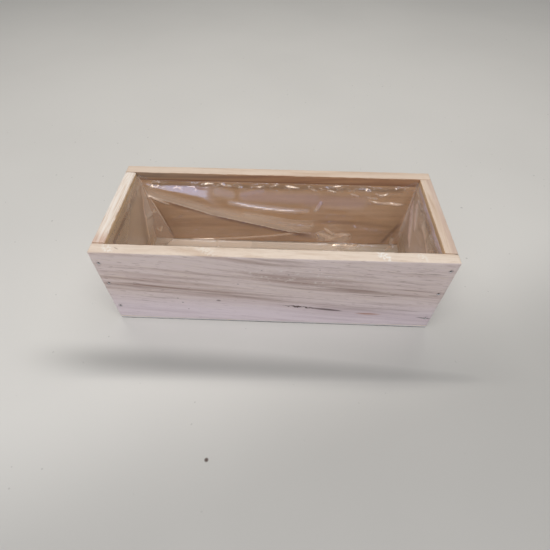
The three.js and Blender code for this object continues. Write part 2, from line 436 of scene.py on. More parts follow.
def front_board_marks(colours):
    """The front board's dark bands and lines, resin streak, rust streak, worm specks and scuff."""
    low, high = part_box("front_board")
    length, height = high.x - low.x, high.z - low.z

    def at(share_along, share_up):
        return (low.x + share_along * length, low.z + share_up * height)

    def add(graph, colour, grain, top):
        place = graph.signal("ShaderNodeTexCoord", output=3)
        side = face_toward(graph, 1, -1.0) * (1.0 - top)
        brown = opaque(colours.streak_wood)
        ragged = graph.ramp(grain["lines"], 0.3, 0.62)
        fine = graph.ramp(grain["striae"], 0.35, 0.6)
        speckled = graph.noise(graph.stretched(place, 420, 420, 900), 1.0, detail=2.0)
        speckled = graph.ramp(speckled, 0.42, 0.55)
        z = graph.parts(place)[2]
        # Painted light: the face grows paler and lilac towards its foot.
        foot = graph.ramp(z, low.z + 0.5 * height, low.z + 0.12 * height) * side
        colour = graph.mixed(colour, opaque(linear(238, 226, 238)), foot * 0.5)
        for marks, ground in ((FRONT_BANDS, ragged), (FRONT_LINES, 0.35 + fine * 0.65)):
            for along, up, mark_length, width, slope, strength in marks:
                mark = spot(graph, place, at(along, up), mark_length * MM, width * MM, slope)
                colour = graph.mixed(colour, brown, mark * ground * side * strength)

        beaded = spot(graph, place, at(0.585, 0.28), 42 * MM, 4.4 * MM, slope=-0.1)
        beaded = graph.ramp(beaded * (0.4 + 0.6 * speckled), 0.3, 0.75)
        solid = graph.ramp(spot(graph, place, at(0.665, 0.25), 36 * MM, 3.2 * MM, slope=-0.12), 0.1, 0.7)
        resin = graph.math("MAXIMUM", beaded, solid * (0.7 + 0.3 * fine))
        colour = graph.mixed(colour, opaque(colours.stain), resin * 0.85)
        rust = spot(graph, place, at(0.8, 0.19), 28 * MM, 3.6 * MM, slope=-0.04)
        colour = graph.mixed(colour, opaque(colours.rust), rust * (0.3 + 0.5 * fine))
        end_streak = spot(graph, place, at(0.975, 0.145), 18 * MM, 2.2 * MM, slope=-0.15)
        colour = graph.mixed(colour, opaque(colours.stain), end_streak * ragged * 0.8)
        for along, up, size in FRONT_SPECKS:
            speck = spot(graph, place, at(along, up), 1.6 * size * MM, size * MM)
            colour = graph.mixed(colour, opaque(colours.stain), speck * side * 0.55)

        fuzz = graph.ramp(graph.noise(graph.stretched(place, 330, 330, 620), 1.0, detail=3.0), 0.6, 0.68)
        fuzz = fuzz * spot(graph, place, at(0.56, 0.74), 130 * MM, 26 * MM, slope=-0.06) * side
        white = (0.9, 0.88, 0.84, 1.0)
        colour = graph.mixed(colour, white, fuzz * 0.35)

        x, y, _ = graph.parts(place)
        edge = (low.y + high.y) / 2
        for along, mark_length, strength in FRONT_SCUFFS:
            scuff = spot(
                graph, place, (at(along, 0)[0], edge), mark_length * MM, 11 * MM, slope=-0.5, up_axis=1
            )
            colour = graph.mixed(colour, white, scuff * top * speckled * strength)
        nick = spot(graph, place, (at(0.075, 0)[0], edge), 5 * MM, 1.4 * MM, slope=-0.5, up_axis=1)
        colour = graph.mixed(colour, opaque(colours.streak_wood), nick * top * 0.5)
        chip = graph.ramp(x, high.x - 5 * MM, high.x - 1.5 * MM)
        chip = chip * graph.ramp(y, high.y - 1.6 * MM, high.y - 0.6 * MM)
        return graph.mixed(colour, opaque(colours.stain), chip * 0.75)

    return add


# Painted shadows on the back board under the film's folds and along its edge: ends in millimetres
# along and up the board, width in millimetres and strength.
BACK_FOLD_SHADOWS = (
    ((-112, 54.5), (-44, 32.5), 11.0, 0.7),
    ((-62, 37), (40, 10.5), 11.0, 0.85),
    ((-121, 49), (-111, 4), 6.0, 0.6),
    ((127, 36), (112, 4), 7.0, 0.6),
    ((-122, 77.5), (-60, 80), 3.5, 0.5),
    ((40, 34), (120, 30), 9.0, 0.35),
)


def back_board_marks(colours):
    """The back board's darker strip above the film's edge and the painted shadows beneath the film's folds.
    """
    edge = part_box(LINER)[1].z

    def add(graph, colour, grain, top):
        x, _, z = graph.parts(graph.signal("ShaderNodeTexCoord", output=3))
        side = face_toward(graph, 1, -1.0) * (1.0 - top)
        above = graph.ramp(z, edge - 1 * MM, edge + 1.5 * MM) * side
        line = graph.ramp(graph.math("ABSOLUTE", z - edge), 1.4 * MM, 0.3 * MM) * side
        browner = graph.ramp(x, -0.11, 0.02)
        tone = graph.mixed(opaque(linear(116, 106, 100)), opaque(linear(138, 96, 76)), browner)
        colour = graph.mixed(colour, tone, above * (0.42 + 0.35 * graph.ramp(grain["lines"], 0.3, 0.7)))
        colour = graph.mixed(colour, opaque(linear(108, 62, 44)), line * 0.55)
        colour = graph.mixed(colour, opaque(colours.end_grain), top * 0.3)
        # Painted shadows of the film's folds on the wood.
        for start, end, width, strength in BACK_FOLD_SHADOWS:
            start, end = [(along * MM, up * MM) for along, up in (start, end)]
            mark = line_mark(graph, x, z, start, end, width * MM) * side * strength
            colour = graph.mixed(colour, opaque(linear(134, 88, 56)), mark)
        return colour

    return add


def left_end_marks(colours):
    """The left end's worn white top, orange-brown by its front joint."""
    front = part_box("left_end_board")[0].y

    def add(graph, colour, grain, top):
        y = graph.parts(graph.signal("ShaderNodeTexCoord", output=3))[1]
        worn = graph.ramp(grain["striae"], 0.62, 0.4) * top
        colour = graph.mixed(colour, (0.86, 0.8, 0.74, 1.0), worn * 0.75)
        joint = graph.ramp(y, front + 16 * MM, front + 3 * MM) * top * graph.ramp(grain["lines"], 0.3, 0.55)
        return graph.mixed(colour, opaque(colours.rust), joint * 0.45)

    return add


def right_end_marks(colours):
    """The right end's top, pinker along its outer half."""
    low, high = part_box("right_end_board")
    middle = (low.x + high.x) / 2

    def add(graph, colour, grain, top):
        x = graph.parts(graph.signal("ShaderNodeTexCoord", output=3))[0]
        outer = graph.ramp(x, middle - 1 * MM, middle + 2 * MM) * top
        return graph.mixed(colour, opaque(colours.band_wood), outer * 0.4)

    return add


def panel_marks():
    """The bottom panel's pale edge, with painted shade along the tabletop."""
    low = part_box(PANEL)[0]

    def add(graph, colour, grain, top):
        z = graph.parts(graph.signal("ShaderNodeTexCoord", output=3))[2]
        facing_up = graph.parts(graph.signal("ShaderNodeTexCoord", output=1))[2]
        outside = 1.0 - graph.ramp(graph.math("ABSOLUTE", facing_up), 0.3, 0.8)
        pale = graph.mixed(colour, opaque(linear(226, 224, 230)), outside * 0.75)
        # Painted shade: a dark line along the panel's lowest edge, where it meets the tabletop.
        contact_shade = graph.ramp(z, low.z + 1.7 * MM, low.z + 1.1 * MM) * outside
        return graph.mixed(pale, opaque(linear(70, 62, 58)), contact_shade * 0.75)

    return add


def nail_material(colours):
    material, graph = shader_graph("nail_steel")
    place = graph.signal("ShaderNodeTexCoord", output=3)
    rust = graph.ramp(graph.noise(place, 900, detail=3.0, roughness=0.6), 0.42, 0.62)
    pits = graph.noise(place, 2600, detail=2.0)
    shader = graph.node("ShaderNodeBsdfPrincipled", inputs={
        "Base Color": graph.mixed(opaque(colours.nail_steel), opaque(colours.nail_rust), rust),
        "Metallic": 0.6 - rust * 0.5,
        "Roughness": 0.55 + rust * 0.3,
        "Normal": bumped(graph, pits, 0.05 * MM, 0.8),
    })
    finish_surface(graph, shader)
    return material


def crest_signal(graph, crease, along, up):
    """1 on the crest of a crease, fading over its width and towards its ends."""
    start, end = [(first * MM, second * MM) for first, second in (crease.start, crease.end)]
    share, side = segment(along, up, start, end)
    if crease.bend:
        side = side - share * (1.0 - share) * (4 * crease.bend * MM)
    ends = graph.ramp(graph.math("ABSOLUTE", share - 0.5), 0.52, 0.3)
    return graph.ramp(graph.math("ABSOLUTE", side), CREST_WIDTH, 0.0) * ends * crease.milky


def crests_signal(graph, laid, low, high):
    """The whitish crests of the drawn creases, painted highlights along them, each seen only on its own
    wall.
    """
    x, y, z = graph.parts(laid)
    edge = 0.4 * MM
    walls = {
        "back": (x, z, graph.ramp(y, high.y - 2 * edge, high.y - edge)),
        "left": (y, z, graph.ramp(x, low.x + 2 * edge, low.x + edge)),
        "right": (y, z, graph.ramp(x, high.x - 2 * edge, high.x - edge)),
        "floor": (x, y, graph.ramp(z, low.z + 2 * edge, low.z + edge)),
    }
    total = None
    for wall, (along, up, mask) in walls.items():
        crests = None
        for crease in CREASES:
            if crease.wall != wall or not crease.milky:
                continue
            crest = crest_signal(graph, crease, along, up)
            crests = crest if crests is None else graph.math("MAXIMUM", crests, crest)
        crests = crests * mask
        total = crests if total is None else graph.math("MAXIMUM", total, crests)
    return total


def film_material(colours):
    """Clear glossy film: it mirrors by its slope to the eye, is whitish where it is creased and crumpled,
    which paints highlights along the drawn creases, and carries painted light and a painted sky sheen in
    patches.
    """
    material, graph = shader_graph("clear_film")
    low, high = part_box(LINER)
    laid = graph.signal("ShaderNodeAttribute", {"attribute_name": "laid"}, output=1)
    crumple = graph.signal("ShaderNodeAttribute", {"attribute_name": "crumple"}, output=2)
    cloud = graph.ramp(graph.noise(graph.stretched(laid, 28, 60, 60), 1.0, detail=3.0), 0.4, 0.75)
    ripple = graph.noise(graph.stretched(laid, 70, 190, 190), 1.0, detail=2.0)
    broken = graph.ramp(graph.noise(graph.stretched(laid, 260, 260, 260), 1.0, detail=1.0), 0.3, 0.5)
    # Painted highlights: the crests of the drawn creases are whitened.
    crests = graph.math("MINIMUM", crests_signal(graph, laid, low, high) * (0.75 + 0.7 * broken), 1.0)

    # Puckers run along the glued edge, and fine cracks fill the crumpled places.
    height = graph.parts(laid)[2]
    hem = graph.ramp(height, high.z - 10 * MM, high.z - 6 * MM)
    hem = hem * graph.ramp(height, high.z, high.z - 3 * MM)
    cells = graph.signal("ShaderNodeTexVoronoi", {"feature": "DISTANCE_TO_EDGE"}, {
        "Vector": graph.stretched(laid, 95, 260, 300), "Scale": 1.0,
    })
    lit = graph.ramp(graph.noise(graph.stretched(laid, 120, 120, 260), 1.0, detail=1.0), 0.5, 0.6)
    cracks = graph.ramp(cells, 0.07, 0.0) * lit * graph.math("MAXIMUM", hem * 0.8, crumple)
    milky = graph.math("MAXIMUM", crests, cracks)
    # Painted reflection of the sky: a lavender tint laid on the whitish film in patches, where the bumps
    # are also calmed.
    cool = graph.signal("ShaderNodeAttribute", {"attribute_name": "cool"}, output=2)
    relief = ripple * 0.55 + graph.ramp(cells, 0.0, 0.4) * (0.15 + crumple * 0.6)
    relief = relief * (1.0 - 0.8 * cool)
    normal = bumped(graph, relief, 0.5 * MM, 0.6)

    sky = graph.node("ShaderNodeBsdfGlossy", inputs={"Roughness": 0.17, "Normal": normal})
    sky.inputs["Color"].default_value = opaque(colours.film_gleam)
    glint = graph.node("ShaderNodeBsdfGlossy", inputs={"Roughness": 0.22, "Normal": normal})
    glint.inputs["Color"].default_value = opaque(colours.film_glint)
    mirror = graph.node("ShaderNodeMixShader")
    graph.feed(mirror.inputs[0], graph.ramp(milky, 0.05, 0.3))
    graph.tree.links.new(sky.outputs[0], mirror.inputs[1])
    graph.tree.links.new(glint.outputs[0], mirror.inputs[2])
    haze_and_sky_colour = graph.mixed(opaque(colours.film_haze_and_light), opaque(colours.film_painted_sky), cool)
    haze = graph.node("ShaderNodeBsdfPrincipled", inputs={"Base Color": haze_and_sky_colour, "Normal": normal})
    haze.inputs["Roughness"].default_value = 0.3
    lit_through = graph.node("ShaderNodeBsdfTranslucent", inputs={"Normal": normal})
    lit_through.inputs["Color"].default_value = opaque(colours.film_haze_and_light)
    milk = graph.node("ShaderNodeMixShader", inputs={0: 0.2})
    graph.tree.links.new(haze.outputs[0], milk.inputs[1])
    graph.tree.links.new(lit_through.outputs[0], milk.inputs[2])
    clear = graph.node("ShaderNodeBsdfTransparent")
    clear.inputs["Color"].default_value = (0.99, 0.985, 0.98, 1.0)

    # Light that falls through the film onto the wood is hardly weakened by it.
    light_path = graph.node("ShaderNodeLightPath")
    shadow_ray, diffuse_ray = (Signal(graph, light_path.outputs[number]) for number in (1, 2))
    passing = graph.math("MAXIMUM", shadow_ray, diffuse_ray)
    kept = 1.0 - 0.9 * passing
    slant = graph.signal("ShaderNodeLayerWeight", inputs={"Blend": 0.5, "Normal": normal}, output=1)
    body = graph.node("ShaderNodeMixShader")
    # The stored haze is partly whitish film and partly painted light and painted sheen; the crests' painted
    # highlights are added to it.
    stored_haze_and_light = graph.signal("ShaderNodeAttribute", {"attribute_name": "haze_and_painted_light"}, output=2)
    haze_and_painted_light = 0.02 + 0.04 * cloud + 0.12 * crumple + stored_haze_and_light
    haze_and_painted_light = graph.math("ADD", haze_and_painted_light, milky * 0.95, clamp=True)
    graph.feed(body.inputs[0], haze_and_painted_light * kept)
    graph.tree.links.new(clear.outputs[0], body.inputs[1])
    graph.tree.links.new(milk.outputs[0], body.inputs[2])
    whole = graph.node("ShaderNodeMixShader")
    graph.feed(whole.inputs[0], (0.055 + 0.22 * slant ** 4.0 + 0.5 * milky) * kept)
    graph.tree.links.new(body.outputs[0], whole.inputs[1])
    graph.tree.links.new(mirror.outputs[0], whole.inputs[2])
    finish_surface(graph, whole)
    return material


def glue_material(colours):
    material, graph = shader_graph("dried_glue")
    place = graph.signal("ShaderNodeTexCoord", output=3)
    lumps = graph.noise(place, 420, detail=2.0)
    shader = graph.node("ShaderNodeBsdfPrincipled", inputs={
        "Base Color": graph.mixed(opaque(colours.glue), opaque(colours.warm_wood), lumps * 0.5),
        "Roughness": 0.3 + lumps * 0.25,
        "Normal": bumped(graph, lumps, 0.3 * MM, 0.6),
    })
    finish_surface(graph, shader)
    return material


def floor_material(colours):
    material, graph = shader_graph("tabletop")
    place = graph.signal("ShaderNodeTexCoord", output=3)
    blotch = graph.noise(place, 3.5, detail=3.0)
    grit = graph.noise(place, 260, detail=2.0)
    speck = graph.ramp(graph.noise(place, 230, detail=0.0), 0.84, 0.88)
    x, y, _ = graph.parts(place)
    # Painted shade: the tabletop darkens towards its front right, and a painted shadow band runs along the
    # far edge of the box's shadow.
    painted_falloff = graph.ramp(y - x * 0.45, -0.055, -0.2) * 0.72
    edge_of_shade = line_mark(graph, x, y, (-0.21, -0.098), (0.235, -0.106), 40 * MM) * 0.8
    dark = tuple(value * 0.6 for value in colours.floor)
    shade = graph.math("MAXIMUM", painted_falloff, edge_of_shade)
    colour = graph.mixed(opaque(colours.floor), opaque(dark), graph.ramp(blotch, 0.35, 0.7) * 0.09 + shade)
    colour = graph.mixed(colour, opaque(dark), speck * 0.6)
    crumb = spot(graph, place, (-0.043, -0.175), 4 * MM, 4 * MM, up_axis=1)
    colour = graph.mixed(colour, opaque(colours.stain), crumb * 0.9)
    shader = graph.node("ShaderNodeBsdfPrincipled", inputs={
        "Base Color": colour,
        "Roughness": 0.55 + grit * 0.15,
        "Normal": bumped(graph, grit, 0.1 * MM, 0.4),
    })
    shader.inputs["Specular IOR Level"].default_value = 0.25
    finish_surface(graph, shader)
    return material


# ---------------------------------------------------------------- geometry trees


class GeometryGraph(Graph):
    """A geometry tree with named inputs, made from a mesh in to a mesh out."""

    def __init__(self, name):
        super().__init__(bpy.data.node_groups.new(name, "GeometryNodeTree"))
        self.tree.interface.new_socket("Geometry", in_out="INPUT", socket_type="NodeSocketGeometry")
        self.tree.interface.new_socket("Geometry", in_out="OUTPUT", socket_type="NodeSocketGeometry")
        self.start = self.tree.nodes.new("NodeGroupInput")

    def named_input(self, name, kind):
        self.tree.interface.new_socket(name, in_out="INPUT", socket_type=f"NodeSocket{kind}")
        return Signal(self, self.start.outputs[name])

    def incoming(self):
        return Signal(self, self.start.outputs["Geometry"])

    def finish(self, geometry, material):
        """Ends the tree in Realize Instances and Set Material."""
        real = self.signal("GeometryNodeRealizeInstances", None, {0: geometry})
        painted = self.signal(
            "GeometryNodeSetMaterial", None, {"Geometry": real, "Material": material}
        )
        output = self.tree.nodes.new("NodeGroupOutput")
        self.tree.links.new(painted.socket, output.inputs["Geometry"])
        return self.tree


def identifier_of(tree, name):
    for item in tree.interface.items_tree:
        if item.item_type == "SOCKET" and item.in_out == "INPUT" and item.name == name:
            return item.identifier
    raise KeyError(f"the tree {tree.name} has no input named {name}")


def link_object(name, mesh):
    piece = bpy.data.objects.new(name, mesh)
    bpy.context.scene.collection.objects.link(piece)
    return piece


def grown(name, tree, values, seed_mesh=None):
    """A plain mesh object of what a geometry tree makes from its named values."""
    host = link_object(name + "_host", seed_mesh or bpy.data.meshes.new(name + "_seed"))
    modifier = host.modifiers.new("Grow", "NODES")
    modifier.node_group = tree
    for key, value in values.items():
        modifier[identifier_of(tree, key)] = value
    return settled(name, host)


def settled(name, host):
    """The evaluated mesh of host, with no modifier left, in an object of its own."""
    host.update_tag()
    seen = host.evaluated_get(bpy.context.evaluated_depsgraph_get())
    mesh = bpy.data.meshes.new_from_object(seen)
    mesh.name = name
    piece = link_object(name, mesh)
    bpy.data.objects.remove(host)
    return piece


def board_tree():
    """A board between two corners, with eased and nibbled edges, an uneven face and a slight bow."""
    graph = GeometryGraph("Sawn board")
    low = graph.named_input("Low Corner", "Vector")
    high = graph.named_input("High Corner", "Vector")
    spacing = graph.named_input("Mesh Spacing", "Float")
    ease = graph.named_input("Edge Ease", "Float")
    wave = graph.named_input("Wave", "Float")
    wear = graph.named_input("Edge Wear", "Float")
    bow = graph.named_input("Bow", "Vector")
    seed = graph.named_input("Seed", "Float")
    material = graph.named_input("Material", "Material")

    size = graph.vector("SUBTRACT", high, low)
    half = graph.scaled(size, 0.5)
    middle = graph.scaled(graph.vector("ADD", high, low), 0.5)
    counts = graph.parts(graph.vector("DIVIDE", size, graph.joined(spacing, spacing, spacing)))
    cube_inputs = {"Size": size}
    for axis, count in zip("XYZ", counts):
        cube_inputs[f"Vertices {axis}"] = count + 5
    cube = graph.signal("GeometryNodeMeshCube", None, cube_inputs)

    # The two outermost cells on every side are squeezed into the eased edge.
    place = graph.signal("GeometryNodeInputPosition")
    share = graph.vector("DIVIDE", graph.vector("ABSOLUTE", place), half)
    cells = graph.vector("DIVIDE", (1.0, 1.0, 1.0), graph.joined(*[(count + 4) * 0.5 for count in counts]))
    inner_end = graph.vector("SUBTRACT", (1.0, 1.0, 1.0), graph.scaled(cells, 2.0))
    ease_share = graph.vector("DIVIDE", graph.joined(ease, ease, ease), half)
    eased_end = graph.vector("SUBTRACT", (1.0, 1.0, 1.0), ease_share)
    inner = graph.signal(
        "ShaderNodeMapRange", {"data_type": "FLOAT_VECTOR", "clamp": True},
        {6: share, 7: (0, 0, 0), 8: inner_end, 9: (0, 0, 0), 10: eased_end}, output=1,
    )
    outer = graph.signal(
        "ShaderNodeMapRange", {"data_type": "FLOAT_VECTOR", "clamp": True},
        {6: share, 7: inner_end, 8: (1, 1, 1), 9: (0, 0, 0), 10: ease_share}, output=1,
    )
    sign = graph.vector("SIGN", place)
    spread = graph.vector("MULTIPLY", graph.vector("ADD", inner, outer), half)
    spread = graph.vector("MULTIPLY", spread, sign)
    core = graph.vector("SUBTRACT", half, graph.joined(ease, ease, ease))
    core_point = graph.vector("MINIMUM", graph.vector("MAXIMUM", spread, graph.scaled(core, -1.0)), core)
    facing = graph.vector("NORMALIZE", graph.vector("SUBTRACT", spread, core_point))
    rounded = graph.vector("ADD", core_point, graph.scaled(facing, ease))

    # The face waves a little, and the edges are nibbled where two faces meet.
    shift = graph.joined(seed, seed * 0.7, seed * 1.3)
    world = graph.vector("ADD", rounded, graph.vector("ADD", middle, shift))
    waves = graph.noise(graph.stretched(world, 9, 32, 32), 1.0, detail=2.0)
    nibbles = graph.noise(graph.stretched(world, 160, 420, 420), 1.0, detail=3.0, roughness=0.6)
    bites = graph.noise(graph.stretched(world, 38, 60, 60), 1.0, detail=1.0)
    face_x, face_y, face_z = graph.parts(graph.vector("ABSOLUTE", facing))
    flat = graph.math("MAXIMUM", graph.math("MAXIMUM", face_x, face_y), face_z)
    edge = graph.ramp(flat, 0.995, 0.85)
    nibbled = graph.ramp(nibbles, 0.35, 0.75) * 0.7 + graph.ramp(bites, 0.6, 0.8)
    sunk = graph.scaled(facing, (waves * wave + edge * wear * nibbled) * -1.0)

    along = graph.parts(graph.vector("DIVIDE", rounded, half))[0]
    belly = graph.scaled(bow, 1.0 - along * along)
    standing = graph.vector("ADD", rounded, middle)
    moved = graph.vector("ADD", standing, graph.vector("ADD", sunk, belly))
    board = graph.signal("GeometryNodeSetPosition", None, {"Geometry": cube, "Position": moved})
    return graph.finish(board, material)


def brad_tree():
    """Headed brads at the points of a mesh, each turned along its point's drive attribute."""
    graph = GeometryGraph("Brads")
    shank = graph.named_input("Shank Radius", "Float")
    head = graph.named_input("Head Radius", "Float")
    head_height = graph.named_input("Head Height", "Float")
    point_length = graph.named_input("Point Length", "Float")
    length = graph.named_input("Length", "Float")
    material = graph.named_input("Material", "Material")

    def cone(top, bottom, depth, start):
        made = graph.signal("GeometryNodeMeshCone", None, {
            "Vertices": 16, "Radius Top": top, "Radius Bottom": bottom, "Depth": depth,
        })
        return graph.signal("GeometryNodeTransform", None, {
            "Geometry": made, "Translation": graph.joined(0.0, 0.0, start),
        })

    crown = cone(head * 0.8, head, head_height * 0.35, head_height * -0.35)
    flange = cone(head, head * 0.9, head_height * 0.65, head_height * -1.0)
    stem = cone(shank, shank, length - head_height - point_length, point_length - length)
    tip = cone(shank, shank * 0.05, point_length, length * -1.0)
    join = graph.node("GeometryNodeJoinGeometry")
    for piece in (crown, flange, stem, tip):
        graph.tree.links.new(piece.socket, join.inputs[0])
    drive = graph.signal(
        "GeometryNodeInputNamedAttribute", {"data_type": "FLOAT_VECTOR"}, {"Name": "drive"}
    )
    turn = graph.signal(
        "FunctionNodeAlignRotationToVector", {"axis": "Z"}, {"Vector": graph.scaled(drive, -1.0)}
    )
    placed = graph.signal("GeometryNodeInstanceOnPoints", None, {
        "Points": graph.incoming(), "Instance": Signal(graph, join.outputs[0]), "Rotation": turn,
    })
    return graph.finish(placed, material)


def bead_tree():
    """A hand-laid bead of glue along each line of a mesh, uneven in width and place."""
    graph = GeometryGraph("Glue bead")
    width = graph.named_input("Width", "Float")
    depth = graph.named_input("Depth", "Float")
    wander = graph.named_input("Wander", "Float")
    material = graph.named_input("Material", "Material")
    path = graph.signal("GeometryNodeMeshToCurve", None, {0: graph.incoming()})
    path = graph.signal(
        "GeometryNodeResampleCurve", {"mode": "LENGTH"}, {"Curve": path, "Length": 2.0 * MM}
    )
    place = graph.signal("GeometryNodeInputPosition")
    slow = graph.noise(place, 45.0, detail=1.0) - 0.5
    path = graph.signal("GeometryNodeSetPosition", None, {
        "Geometry": path, "Offset": graph.joined(0.0, 0.0, slow * wander),
    })
    path = graph.signal("GeometryNodeSetCurveNormal", {"mode": "Z_UP"}, {0: path})
    swell = graph.noise(place, 110.0, detail=2.0) * 0.9 + 0.55
    path = graph.signal("GeometryNodeSetCurveRadius", None, {"Curve": path, "Radius": swell})
    ring = graph.signal("GeometryNodeCurvePrimitiveCircle", {"mode": "RADIUS"}, {
        "Resolution": 10, "Radius": 0.5,
    })
    ring = graph.signal("GeometryNodeTransform", None, {
        "Geometry": ring, "Scale": graph.joined(depth, width, 1.0),
    })
    bead = graph.signal("GeometryNodeCurveToMesh", None, {
        "Curve": path, "Profile Curve": ring, "Fill Caps": True,
    })
    return graph.finish(bead, material)


# ---------------------------------------------------------------- boards


def nail_heads(nodes):
    """Where each nail's head is, which way it is driven and how long it is, from its CAD node."""
    heads = []
    centre = (BOX_LOW + BOX_HIGH) / 2
    for node in nodes:
        low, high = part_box(node)
        size = high - low
        axis = max(range(3), key=lambda i: size[i])
        middle = (low + high) / 2
        inward = Vector((0, 0, 0))
        inward[axis] = 1 if middle[axis] < centre[axis] else -1
        head = middle - inward * (size[axis] / 2)
        heads.append((head, inward, size[axis]))
    return heads


def drill_mesh(nodes, gap):
    """Round cutters for the nails' holes, from above the wood to past their points."""
    rim_reach = 2 * MM
    sides = 20
    vertices, faces = [], []
    for head, inward, length in nail_heads(nodes):
        nail = nail_radii(nodes[0])
        side = Vector((1, 0, 0)) if abs(inward.x) < 0.5 else Vector((0, 1, 0))
        other = inward.cross(side)
        seat, mouth, bore = (nail[part] + gap for part in ("head_height", "head", "shank"))
        rings = ((-rim_reach, mouth), (seat, mouth), (seat, bore), (length + gap, bore))
        base = len(vertices)
        for depth, radius in rings:
            for step in range(sides):
                angle = 2 * math.pi * step / sides
                spoke = side * math.cos(angle) + other * math.sin(angle)
                vertices.append(head + inward * depth + spoke * radius)
        for ring in range(len(rings) - 1):
            for step in range(sides):
                a = base + ring * sides + step
                b = base + ring * sides + (step + 1) % sides
                faces.append((a, b, b + sides, a + sides))
        faces.append([base + step for step in reversed(range(sides))])
        faces.append([base + (len(rings) - 1) * sides + step for step in range(sides)])
    mesh = bpy.data.meshes.new("drill")
    mesh.from_pydata([tuple(v) for v in vertices], [], faces)
    mesh.validate()
    turn_outwards(mesh)
    return mesh


def nail_radii(node):
    """A nail's head and shank radii and its head's height, measured on its CAD node."""
    low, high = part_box(node)
    size = high - low
    axis = max(range(3), key=lambda i: size[i])
    across = [i for i in range(3) if i != axis]
    middle = (low + high) / 2
    vertices = np.array([v.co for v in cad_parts[node].data.vertices])
    radii = np.linalg.norm(vertices[:, across] - np.array([middle[i] for i in across]), axis=1)
    depths = np.abs(vertices[:, axis] - middle[axis])
    head = float(radii.max())
    shank = float(radii[(radii > 0.1 * head) & (radii < 0.95 * head)].max())
    under_head = float(depths[radii > 0.95 * head].min())
    return {"head": head, "shank": shank, "head_height": size[axis] / 2 - under_head}


def turn_outwards(mesh):
    work = bmesh.new()
    work.from_mesh(mesh)
    bmesh.ops.remove_doubles(work, verts=work.verts, dist=1e-7)
    bmesh.ops.recalc_face_normals(work, faces=work.faces)
    work.to_mesh(mesh)
    work.free()


def drilled(piece, nodes, gap):
    """piece with the nails' holes cut into it."""
    name = piece.name
    piece.name = name + "_plain"
    cutter = link_object("cutter", drill_mesh(nodes, gap))
    cut = piece.modifiers.new("Drill", "BOOLEAN")
    cut.operation = "DIFFERENCE"
    cut.solver = "EXACT"
    cut.object = cutter
    made = settled(name, piece)
    bpy.data.objects.remove(cutter)
    return made


def add_bruises(piece, nodes):
    """Writes how crushed and stained the wood is round each nail, 1 at its hole."""
    places = np.empty(len(piece.data.vertices) * 3)
    piece.data.vertices.foreach_get("co", places)
    places = places.reshape(-1, 3)
    bruise = np.zeros(len(places))
    radius = nail_radii(nodes[0])["head"]
    for head, _, _ in nail_heads(nodes):
        distance = np.linalg.norm(places - np.array(head), axis=1)
        bruise = np.maximum(bruise, np.clip(1.6 - distance / (1.6 * radius), 0, 1))
    layer = piece.data.attributes.new("bruise", "FLOAT", "POINT")
    layer.data.foreach_set("value", bruise)


def smooth_shaded(piece, sharp_degrees=35):
    mesh = piece.data
    mesh.shade_smooth()
    mesh.set_sharp_from_angle(angle=math.radians(sharp_degrees))


def hand_over(piece, nodes, slot):
    """Attaches a finished piece to its body and hides the CAD nodes it stands for; slot is not used."""
    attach(piece, ONE_BODY)
    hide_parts(*nodes)


class LOAF_OT_boards(bpy.types.Operator):
    """Make the four wall boards and the bottom panel"""

    bl_idname = "loaf_mould.boards"
    bl_label = "Boards"

    def execute(self, context):
        sizes, colours = context.scene.loaf_sizes, context.scene.loaf_colours
        # The end walls' inner faces get the brighter copy of the inner wood colour, which is painted light.
        warm, lit = colours.warm_wood, colours.painted_light_end_wood
        materials = {
            "front_board": wood_material(
                "front_board_wood", colours, colours.face_wood, tilt=-6.0, seed=1.0, band=0.55,
                inner=(1, 1, warm), marks=front_board_marks(colours),
            ),
            "back_board": wood_material(
                "back_board_wood", colours, colours.face_wood, tilt=1.0, seed=2.0, band=0.6,
                inner=(1, -1, warm), marks=back_board_marks(colours),
            ),
            "left_end_board": wood_material(
                "left_end_wood", colours, colours.face_wood, along="Y", seed=3.0, band=0.35,
                inner=(0, 1, lit), marks=left_end_marks(colours),
            ),
            "right_end_board": wood_material(
                "right_end_wood", colours, colours.face_wood, along="Y", seed=4.0, band=0.5,
                inner=(0, -1, lit), marks=right_end_marks(colours),
            ),
            PANEL: wood_material(
                "bottom_panel_wood", colours, colours.sapwood, seed=5.0, band=0.15,
                # Painted light: the panel's upper face, the box's floor, is far paler than its wood.
                inner=(2, 1, linear(255, 240, 212)),
                marks=panel_marks(),
            ),
        }
        bows = {"front_board": (0, -0.5 * MM, 0), "back_board": (0, 0.3 * MM, 0)}
        worn_most = {"left_end_board": 2.8, "back_board": 1.4}
        tree = board_tree()
        for number, (node, material) in enumerate(materials.items()):
            low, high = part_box(node)
            board = grown(node + "_timber", tree, {
                "Low Corner": low,
                "High Corner": high,
                "Mesh Spacing": sizes.board_mesh,
                "Edge Ease": sizes.edge_ease,
                "Wave": sizes.board_wave,
                "Edge Wear": sizes.edge_wear * worn_most.get(node, 1.0),
                "Bow": bows.get(node, (0, 0, 0)),
                "Seed": 1.7 * number,
                "Material": material,
            })
            board = drilled(board, NAIL_NODES, sizes.nail_hole_gap)
            add_bruises(board, NAIL_NODES)
            smooth_shaded(board)
            hand_over(board, [node], "bottom_wood" if node == PANEL else "wood")
        return {"FINISHED"}


# ---------------------------------------------------------------- nails


